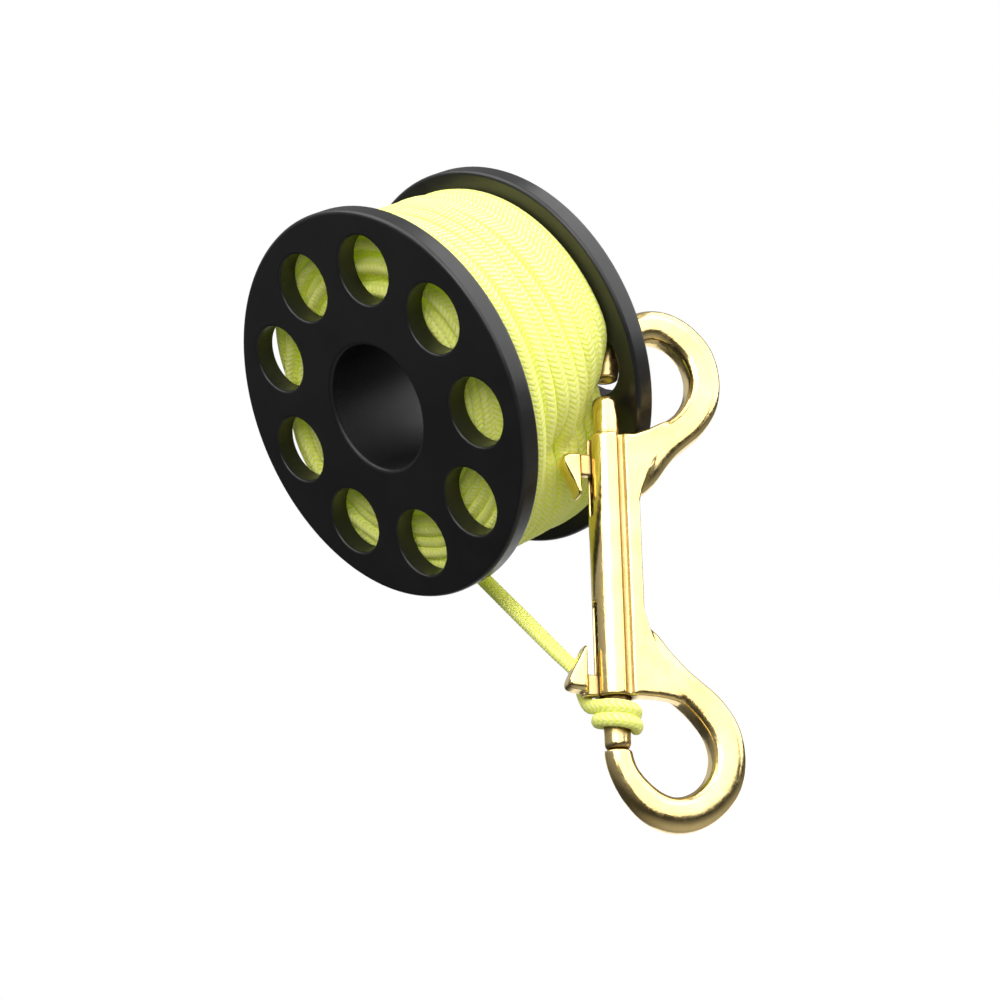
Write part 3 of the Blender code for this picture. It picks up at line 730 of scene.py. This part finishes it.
def line_tube(name, points, reference, sides, material, width, thickness, roll=None, relief=0.0):
    """A tube along points, with its UV map in turns round it and mm along it.

    reference gives the direction of the line's flat side at each point, roll the braid's own twist in turns,
    and relief the height of modelled stitches. width and thickness are half sizes.
    """
    tangent = np.gradient(points, axis=0)
    tangent /= np.linalg.norm(tangent, axis=1)[:, None]
    normal = reference - tangent * np.sum(reference * tangent, axis=1)[:, None]
    normal /= np.linalg.norm(normal, axis=1)[:, None]
    across = np.cross(tangent, normal)
    along = distances(points) * 1000
    rings = len(points)
    if roll is None:
        roll = np.zeros(rings)
    vertices = np.zeros((rings, sides, 3))
    for side in range(sides):
        angle = 2 * math.pi * (side / sides)
        lift = 0.0
        if relief:
            lift = braid_lift(np.mod((side / sides + roll) * BRAID_COLUMNS, 1.0), along, relief)
        w = np.broadcast_to((width + lift) * math.cos(angle), rings)
        t = np.broadcast_to((thickness + lift) * math.sin(angle), rings)
        vertices[:, side, :] = points + across * w[:, None] + normal * t[:, None]
    base = (np.arange(rings - 1) * sides)[:, None]
    here = np.arange(sides)[None, :]
    after = (here + 1) % sides
    quads = np.stack([base + here, base + after, base + sides + after, base + sides + here], axis=2)
    caps = [list(range(sides))[::-1], list(range((rings - 1) * sides, rings * sides))]
    mesh = bpy.data.meshes.new(name)
    mesh.from_pydata(vertices.reshape(-1, 3).tolist(), [], quads.reshape(-1, 4).tolist() + caps)

    twist = np.broadcast_to(roll[:, None], (rings, sides))
    low = here / sides + twist
    high = (here + 1) / sides + twist
    length = np.broadcast_to(along[:, None], (rings, sides))
    corner_u = np.stack([low[:-1], high[:-1], high[1:], low[1:]], axis=2)
    corner_v = np.stack([length[:-1], length[:-1], length[1:], length[1:]], axis=2)
    uv = np.concatenate([np.stack([corner_u, corner_v], axis=3).reshape(-1, 2), np.zeros((2 * sides, 2))])
    mesh.uv_layers.new(name="line").data.foreach_set("uv", uv.astype(np.float32).ravel())
    builder = bmesh.new()
    builder.from_mesh(mesh)
    bpy.data.meshes.remove(mesh)
    return from_bmesh(name, builder, material)


def smooth_path(points, between):
    """Points read from a smooth curve through the given points."""
    out = []
    last = len(points) - 1
    for index in range(last):
        a = np.array(points[max(index - 1, 0)])
        b = np.array(points[index])
        c = np.array(points[index + 1])
        d = np.array(points[min(index + 2, last)])
        for step in range(between):
            t = step / between
            out.append(0.5 * (2 * b + (c - a) * t + (2 * a - 5 * b + 4 * c - d) * t * t
                              + (3 * b - a - 3 * c + d) * t ** 3))
    out.append(np.array(points[-1]))
    return np.array(out)


def even_steps(points, spacing):
    """The same path with its points an even distance apart."""
    lengths = distances(points)
    wanted = np.linspace(0.0, lengths[-1], int(lengths[-1] / spacing) + 1)
    return np.stack([np.interp(wanted, lengths, points[:, axis]) for axis in range(3)], axis=1)


def tail_path():
    """From the winding as a tangent, straight to the snap, then the wraps round the lower bolt."""
    first = RUN_POINTS[0]
    route = [DEPARTURE + (first - DEPARTURE) * (step / 8) for step in range(8)]
    route.extend(RUN_POINTS)
    for index in range(WRAP_STEPS + 1):
        turn = WRAP_TURNS * index / WRAP_STEPS
        angle = WRAP_START + 2 * math.pi * turn
        point = Vector((WRAP_RADIUS * math.cos(angle), WRAP_RADIUS * math.sin(angle),
                        WRAP_TOP - WRAP_PITCH * turn))
        route.append(SNAP_PLACE @ point)
    return even_steps(smooth_path([tuple(p) for p in route], 8), TAIL_SPACING * MM)


def make_winding():
    """The whole winding as one tube along the line."""
    points = winding_path()
    radial = points.copy()
    radial[:, 1] = 0
    radial /= np.linalg.norm(radial, axis=1)[:, None]
    piece = line_tube("line_winding", points, radial, 12, yellow_braid("yellow_line_wound", 1.0),
                      LINE_HALF_WIDTH, LINE_HALF_THICKNESS, roll=0.05 * turn_noise(len(points)))
    stand_for(piece, "spool", "yellow_line", "line_pack")


def tail_flat_side(tail):
    """Away from the spool where the tail leaves it, turning to away from the barrel's axis in the wraps."""
    leaving = np.array((math.cos(DEPARTURE_ANGLE), 0.0, math.sin(DEPARTURE_ANGLE)))
    axis = np.array(SNAP_PLACE.to_3x3() @ Vector((0, 0, 1)))
    away = tail - np.array(SNAP_PLACE.translation)
    away -= axis * (away @ axis)[:, None]
    away /= np.linalg.norm(away, axis=1)[:, None]
    share = np.clip((np.arange(len(tail)) / len(tail) - 0.35) / 0.25, 0.0, 1.0)[:, None]
    return leaving * (1 - share) + away * share


def make_tail():
    """The free run and the hitch: one line, thinner in the wraps, where it is pulled tight."""
    tail = tail_path()
    index = np.arange(len(tail))
    to_end = index[::-1] * TAIL_SPACING
    close = np.clip(np.minimum(index * TAIL_SPACING, to_end) / END_ROUND, 0.0, 1.0)
    rounding = np.sqrt(np.clip(1 - (1 - close) ** 2, 0.02, 1))
    swell = 1.0 + END_SWELL * np.exp(-((to_end - 2.0) / 1.6) ** 2)
    free = 1 - np.clip((index / len(tail) - 0.60) / 0.08, 0, 1)
    size = rounding * swell * MM
    piece = line_tube("line_tail", tail, tail_flat_side(tail), 30, yellow_braid("yellow_line_tail", 0.6),
                      *((tight + extra * free) * size for tight, extra in zip(WRAP_HALF_SIZE, FREE_EXTRA)),
                      relief=TAIL_RELIEF)
    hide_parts("line_run", "line_hitch")
    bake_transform(piece)


# ------------------------ snap

def plate(outline, front, back, rounding=0.0):
    """A closed plate with an outline in XZ (mm) between two Y values, its borders rounded over."""
    builder = bmesh.new()
    rows = [[builder.verts.new((x * MM, y, z * MM)) for x, z in outline] for y in (front, back)]
    builder.faces.new(rows[0])
    builder.faces.new(rows[1][::-1])
    bridge(builder, rows[0], rows[1])
    bmesh.ops.recalc_face_normals(builder, faces=builder.faces)
    if rounding:
        rims = [e for e in builder.edges if abs(e.verts[0].co.y - e.verts[1].co.y) < 1e-7]
        bmesh.ops.bevel(builder, geom=rims, offset=rounding, segments=5, affect="EDGES", profile=0.5)
    return builder


def close_tube(builder, rings):
    """A closed solid through rings, with flat ends."""
    for here, after in zip(rings, rings[1:]):
        bridge(builder, here, after)
    builder.faces.new(rings[0])
    builder.faces.new(rings[-1])


def turned_on_z(profile, steps):
    """A closed solid turned about Z from (radius, z) points, with flat ends."""
    builder = bmesh.new()
    angles = [2 * math.pi * step / steps for step in range(steps)]
    rings = [[builder.verts.new((radius * math.cos(a), radius * math.sin(a), z)) for a in angles]
             for radius, z in profile]
    close_tube(builder, rings)
    return builder


def hook_solid(mirror, reach, trim):
    """A hook from inside the web round to its end: square-shouldered at the root, round at the end."""
    stations = [(x * reach, z, w, t) for x, z, w, t in HOOK_STATIONS]
    for index, amount in trim:
        x, z, w, t = stations[index]
        stations[index] = (x, z - amount, w - amount, t)
    path = smooth_path(stations, 6)
    builder = bmesh.new()
    sides = 36
    last = len(path) - 1
    rings = []
    for index, (x, z, width, thickness) in enumerate(path):
        before = path[max(index - 1, 0)]
        after = path[min(index + 1, last)]
        along = Vector((after[0] - before[0], 0.0, after[1] - before[1])).normalized()
        if index == last:
            along = Vector((0.0, 0.0, -1.0))
        across = Vector((along.z, 0.0, -along.x))
        power = 0.5 + 0.5 * (index / last) ** 1.5
        ring = []
        for side in range(sides):
            angle = 2 * math.pi * side / sides
            c = math.copysign(abs(math.cos(angle)) ** power, math.cos(angle))
            s = math.copysign(abs(math.sin(angle)) ** power, math.sin(angle))
            point = Vector((x, 0.0, z)) + across * (c * width) + Vector((0.0, s * thickness, 0.0))
            point.z *= mirror
            ring.append(builder.verts.new(point * MM))
        rings.append(ring)
    close_tube(builder, rings)
    return builder


def cast(name, joined, cut, voxel, rounds, material):
    """One casting: the joined solids less the cut ones, with every edge softened as a mould leaves it."""
    item = from_bmesh(name, joined[0], material)
    helpers = []
    for operation, solids in (("UNION", joined[1:]), ("DIFFERENCE", cut)):
        for solid in solids:
            helper = from_bmesh(name + "_part", solid, material)
            helpers.append(helper)
            modifier = item.modifiers.new("join", "BOOLEAN")
            modifier.operation = operation
            modifier.solver = "EXACT"
            modifier.object = helper
    remesh = item.modifiers.new("skin", "REMESH")
    remesh.mode = "VOXEL"
    remesh.voxel_size = voxel
    remesh.use_smooth_shade = True
    soften = item.modifiers.new("soften", "SMOOTH")
    soften.factor = 0.5
    soften.iterations = rounds
    graph = bpy.context.evaluated_depsgraph_get()
    mesh = bpy.data.meshes.new_from_object(item.evaluated_get(graph))
    item.modifiers.clear()
    item.data = mesh
    mesh.shade_smooth()
    mesh.transform(SNAP_PLACE)
    for helper in helpers:
        bpy.data.objects.remove(helper, do_unlink=True)
    return item


def root_solid(mirror, reach, outline):
    """The flat part between the web and a hook, its front falling back towards the hook."""
    builder = plate([(x * reach, z * mirror) for x, z in outline], ROOT_FRONT, ROOT_BACK, ROOT_ROUND)
    for corner in builder.verts:
        if corner.co.y < (ROOT_FRONT + ROOT_BACK) / 2:
            corner.co.y += ROOT_TAPER * max(0.0, corner.co.x - TAPER_START)
    return builder


def hollows(mirror, barrel_end):
    """What is cut from one half of the snap: bore, groove, knob slot, and the cup for the bolt's tip."""
    past = barrel_end + mirror * CUT_PAST
    bore = turned_on_z(((BARREL_BORE, mirror * BORE_BOTTOM), (BARREL_BORE, past)), 48)
    groove = turned_on_z(((GROOVE_RADIUS, 0.0), (GROOVE_RADIUS, mirror * GROOVE_REACH)), 24)
    bmesh.ops.translate(groove, verts=groove.verts, vec=GROOVE_CENTRE)
    low = mirror * SLOT_END / MM
    high = past / MM
    slot = plate(((-6, low), (0, low), (0, high), (-6, high)), -SLOT_HALF_WIDTH, SLOT_HALF_WIDTH)
    cup = bmesh.new()
    bmesh.ops.create_uvsphere(cup, u_segments=36, v_segments=20, radius=CUP_RADIUS)
    bmesh.ops.translate(cup, verts=cup.verts, vec=(0, 0, mirror * CUP_CENTRE))
    return bore, groove, slot, cup


def snap_casting(material):
    """The barrel, the web and a hook at each end, cast in one piece."""
    joined = [turned_on_z(((BARREL_RADIUS, BARREL_BOTTOM), (BARREL_RADIUS, BARREL_TOP)), 72),
              plate(WEB_OUTLINE, BODY_FRONT, WEB_BACK, WEB_ROUND)]
    cut = []
    for mirror, reach, root, barrel_end, trim in ((1, UPPER_REACH, UPPER_ROOT, BARREL_TOP, ()),
                                                  (-1, LOWER_REACH, LOWER_ROOT, BARREL_BOTTOM, LOWER_TRIM)):
        joined.append(hook_solid(mirror, reach, trim))
        joined.append(root_solid(mirror, reach, root))
        cut.extend(hollows(mirror, barrel_end))
    item = cast("snap_casting", joined, cut, CAST_VOXEL, CAST_SMOOTHING, material)
    stand_for(item, "snap", "cast_brass", "snap_body")


def bolt_bar(label, mirror, tip, material):
    """A plain rod with a rounded tip, its back end in the spring's bore."""
    back = tip - BOLT_LENGTH
    profile = [(BOLT_RADIUS - BOLT_CHAMFER, back), (BOLT_RADIUS, back + BOLT_CHAMFER)]
    rounds = [(BOLT_TIP_ROUND, 0.0), *quarter(BOLT_TIP_ROUND, 10), (0.0, BOLT_TIP_ROUND)]
    profile.extend((BOLT_RADIUS - inwards, tip - below) for below, inwards in rounds)
    builder = turned_on_z([(radius, mirror * z) for radius, z in profile], 64)
    bmesh.ops.transform(builder, matrix=SNAP_PLACE, verts=builder.verts)
    bar = from_bmesh(label + "_bolt_bar", builder, material, 40)
    stand_for(bar, label + "_bolt", "cast_brass", label + "_bolt")


def thumb_knob(label, mirror, place, shift, material):
    """A knob and its stem, which stands in the barrel's slot; place is the stem's height in mm."""
    rounded = [tuple(point) for point in smooth_path(KNOB_OUTLINE[:-1], 5)] + [KNOB_OUTLINE[-1]]
    knob = plate([(-x, mirror * (place - z - shift)) for x, z in rounded], -KNOB_HALF_THICKNESS,
                 KNOB_HALF_THICKNESS, KNOB_ROUND)
    stem = plate([(-x, mirror * (place + z)) for x, z in STEM_OUTLINE], -STEM_HALF_WIDTH, STEM_HALF_WIDTH)
    item = cast(label + "_knob", [knob, stem], [], KNOB_VOXEL, KNOB_SMOOTHING, material)
    stand_for(item, label + "_bolt", "cast_brass", label + "_thumb_knob")


def spring(label, mirror, tip, material):
    """A coil spring in its blind bore, from near the bore's bottom to the bolt's back end."""
    low = BORE_BOTTOM + GAP + WIRE_RADIUS
    high = tip - BOLT_LENGTH - GAP - WIRE_RADIUS
    share = np.linspace(0.0, 1.0, SPRING_TURNS * SPRING_STEPS + 1)
    angle = 2 * math.pi * SPRING_TURNS * share
    own = np.stack([SPRING_RADIUS * np.cos(angle), SPRING_RADIUS * np.sin(angle),
                    mirror * (low + (high - low) * share)], axis=1)
    points = np.array([SNAP_PLACE @ Vector(point) for point in own])
    axle = np.array([SNAP_PLACE @ Vector((0.0, 0.0, z)) for z in own[:, 2]])
    outward = (points - axle) / SPRING_RADIUS
    coil = line_tube(label + "_spring_coil", points, outward, 10, material, WIRE_RADIUS, WIRE_RADIUS)
    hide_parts(label + "_spring")
    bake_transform(coil)


# ------------------------ studio

def make_camera():
    """A long lens that looks almost level, rolled to one side."""
    data = bpy.data.cameras.new("camera")
    data.lens = CAMERA_LENS
    data.sensor_width = 36.0
    item = bpy.data.objects.new("camera", data)
    bpy.context.collection.objects.link(item)
    back = Vector((math.sin(CAMERA_AZIMUTH) * math.cos(CAMERA_ELEVATION),
                   -math.cos(CAMERA_AZIMUTH) * math.cos(CAMERA_ELEVATION), math.sin(CAMERA_ELEVATION)))
    level = Vector((0, 0, 1)).cross(back).normalized()
    upright = back.cross(level)
    up = upright * math.cos(CAMERA_ROLL) + level * math.sin(CAMERA_ROLL)
    right = up.cross(back)
    turn = Matrix((right, up, back)).transposed().to_4x4()
    item.matrix_world = Matrix.Translation(CAMERA_TARGET + back * CAMERA_DISTANCE) @ turn
    bpy.context.scene.camera = item


def make_world():
    """Plain white behind everything, and a dim surround for the reflections."""
    world = bpy.data.worlds.new("studio")
    bpy.context.scene.world = world
    nodes = Nodes(world, "Background")
    split = nodes.add("ShaderNodeSeparateXYZ")
    nodes.link(nodes.add("ShaderNodeTexCoord").outputs["Generated"], split.inputs[0])
    upwards = nodes.span(split.outputs["Z"], -1.0, 1.0, 0.0, 1.0)
    nodes.set("Color", nodes.ramp(upwards, [(share, (grey, grey, grey)) for share, grey in SURROUND]))
    nodes.set("Strength", 1.0)
    white = nodes.add("ShaderNodeBackground")
    white.inputs["Color"].default_value = WHITE
    white.inputs["Strength"].default_value = 1.0
    choose = nodes.add("ShaderNodeMixShader")
    nodes.link(nodes.add("ShaderNodeLightPath").outputs["Is Camera Ray"], choose.inputs[0])
    nodes.link(nodes.shader.outputs[0], choose.inputs[1])
    nodes.link(white.outputs[0], choose.inputs[2])
    nodes.link(choose.outputs[0], nodes.tree.nodes["World Output"].inputs["Surface"])


def soft_box(name, direction, distance, size, brightness):
    """A large soft light that faces the object; brightness is what its face looks like in a mirror."""
    data = bpy.data.lights.new(name, "AREA")
    data.shape = "RECTANGLE"
    data.size, data.size_y = size
    data.energy = 4.0 * brightness * size[0] * size[1]
    item = bpy.data.objects.new(name, data)
    bpy.context.collection.objects.link(item)
    aim = Vector(direction).normalized()
    item.location = LIGHT_TARGET + aim * distance
    item.rotation_euler = aim.to_track_quat("Z", "Y").to_euler()
    item.visible_camera = False


def make_floor():
    """A wide pale disc that fades into the white behind it; it lights nothing from below."""
    builder = bmesh.new()
    bmesh.ops.create_circle(builder, cap_ends=True, segments=96, radius=FLOOR_RADIUS)
    nodes = Nodes(bpy.data.materials.new("floor_pale"))
    place = nodes.add("ShaderNodeTexCoord").outputs["Object"]
    length = nodes.add("ShaderNodeVectorMath", operation="LENGTH")
    nodes.link(place, length.inputs[0])
    fade = nodes.span(length.outputs["Value"], 0.15, 0.7, 0.0, 1.0)
    nodes.set("Base Color", FLOOR_COLOUR)
    nodes.set("Roughness", 0.9)
    nodes.set("Specular IOR Level", 0.0)
    nodes.set("Emission Color", WHITE)
    nodes.set("Emission Strength", 0.35)
    glow = nodes.add("ShaderNodeEmission")
    glow.inputs["Color"].default_value = WHITE
    glow.inputs["Strength"].default_value = 1.0
    mix = nodes.add("ShaderNodeMixShader")
    nodes.link(fade, mix.inputs[0])
    nodes.link(nodes.shader.outputs[0], mix.inputs[1])
    nodes.link(glow.outputs[0], mix.inputs[2])
    nodes.link(mix.outputs[0], nodes.tree.nodes["Material Output"].inputs["Surface"])
    floor = from_bmesh("floor", builder, nodes.owner)
    floor.location = (0.0, 0.0, FLOOR_HEIGHT)
    floor.visible_diffuse = False
    floor.visible_glossy = False


# ------------------------ assembly

def main():
    plastic = black_plastic()
    stand_for(spool_half("front_half", -1, plastic), "spool", "black_plastic", "front_spool_half")
    stand_for(spool_half("rear_half", 1, plastic), "spool", "black_plastic", "rear_spool_half")
    make_winding()
    make_tail()
    brass = cast_brass()
    steel = spring_steel()
    snap_casting(brass)
    for label, mirror, tip, stem, shift in (("upper", 1, UPPER_TIP, UPPER_STEM, UPPER_KNOB_SHIFT),
                                            ("lower", -1, LOWER_TIP, LOWER_STEM, LOWER_KNOB_SHIFT)):
        bolt_bar(label, mirror, tip, brass)
        thumb_knob(label, mirror, (tip - stem) / MM, shift, brass)
    spring("upper", 1, UPPER_TIP, steel)
    spring("lower", -1, LOWER_TIP, steel)
    make_camera()
    make_world()
    make_floor()
    for light in LIGHTS:
        soft_box(*light)
    bpy.context.scene.view_settings.view_transform = "Standard"


main()
